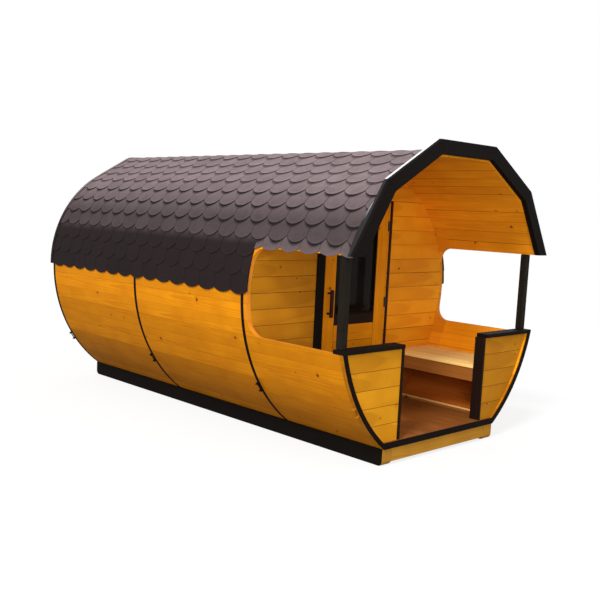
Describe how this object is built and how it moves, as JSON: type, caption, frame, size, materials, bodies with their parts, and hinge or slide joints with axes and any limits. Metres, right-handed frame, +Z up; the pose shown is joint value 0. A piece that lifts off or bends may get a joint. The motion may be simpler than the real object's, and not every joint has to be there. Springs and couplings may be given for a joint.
{
  "type": "oval barrel sauna with front porch",
  "caption": "Oval barrel sauna hut with stave walls, scalloped shingle roof, open porch with bench and half walls, and a glazed hinged door.",
  "frame": {"origin": "on the ground under the middle of the building", "axes": "+Z up, +Y along the barrel from the porch to the rear wall, +X to the right as seen from the porch"},
  "size_m": [2.504, 4.12, 2.4],
  "materials": {
    "stained_pine": "golden pine stain, satin, knots and dark board joints",
    "black_stained_wood": "opaque black-brown wood stain, satin",
    "brown_stained_wood": "brown decking stain, satin",
    "bench_wood": "reddish brown stain, satin",
    "bitumen_shingle": "mineral surfaced bitumen shingle, rough",
    "flashing_metal": "coated sheet steel, semi-gloss",
    "black_steel": "black coated steel, satin",
    "hinge_steel": "dark coated steel, satin",
    "dark_glass": "tinted safety glass, polished"
  },
  "bodies": {
    "building": {"base_runners": "black_stained_wood", "bench_apron": "bench_wood", "bench_bearers": "bench_wood", "bench_seat": "bench_wood", "cabin_eave_left": "stained_pine", "cabin_eave_right": "stained_pine", "cabin_floor": "brown_stained_wood", "cabin_front_band": "black_steel", "cabin_wall_left": "stained_pine", "cabin_wall_right": "stained_pine", "cross_beams": "stained_pine", "doorway_casings": "black_stained_wood", "entrance_trims": "black_stained_wood", "floor_batten": "stained_pine", "frame_hinges": "hinge_steel", "front_band": "black_steel", "front_fascia_lower": "black_stained_wood", "front_fascia_top": "black_stained_wood", "front_fascia_upper": "black_stained_wood", "front_flashing": "flashing_metal", "front_hoop_trims": "black_stained_wood", "front_rim_board": "stained_pine", "front_sill_strip": "black_stained_wood", "half_walls": "stained_pine", "lower_wall_left": "stained_pine", "lower_wall_right": "stained_pine", "middle_band": "black_steel", "partition_left": "stained_pine", "partition_over_door": "stained_pine", "partition_right": "stained_pine", "porch_floor": "brown_stained_wood", "porch_posts": "black_stained_wood", "porch_rails": "black_stained_wood", "porch_wall_left": "stained_pine", "porch_wall_right": "stained_pine", "rear_band": "black_steel", "rear_fascia": "black_stained_wood", "rear_wall": "stained_pine", "roof_lower_slope_left": "stained_pine", "roof_lower_slope_right": "stained_pine", "roof_top": "stained_pine", "roof_upper_slope_left": "stained_pine", "roof_upper_slope_right": "stained_pine", "shingle_cover": "bitumen_shingle"},
    "door": {"door_leaf": "stained_pine", "door_glass": "dark_glass", "door_beads": "black_stained_wood", "door_handle": "black_stained_wood", "door_hinges": "hinge_steel"}
  },
  "joints": [
    {"name": "door_hinge", "type": "hinge", "parent": "building", "child": "door", "pos_m": [0.39, -1.009, 1.068], "axis": [0, 0, 1], "range_deg": [0, 95]}
  ]
}
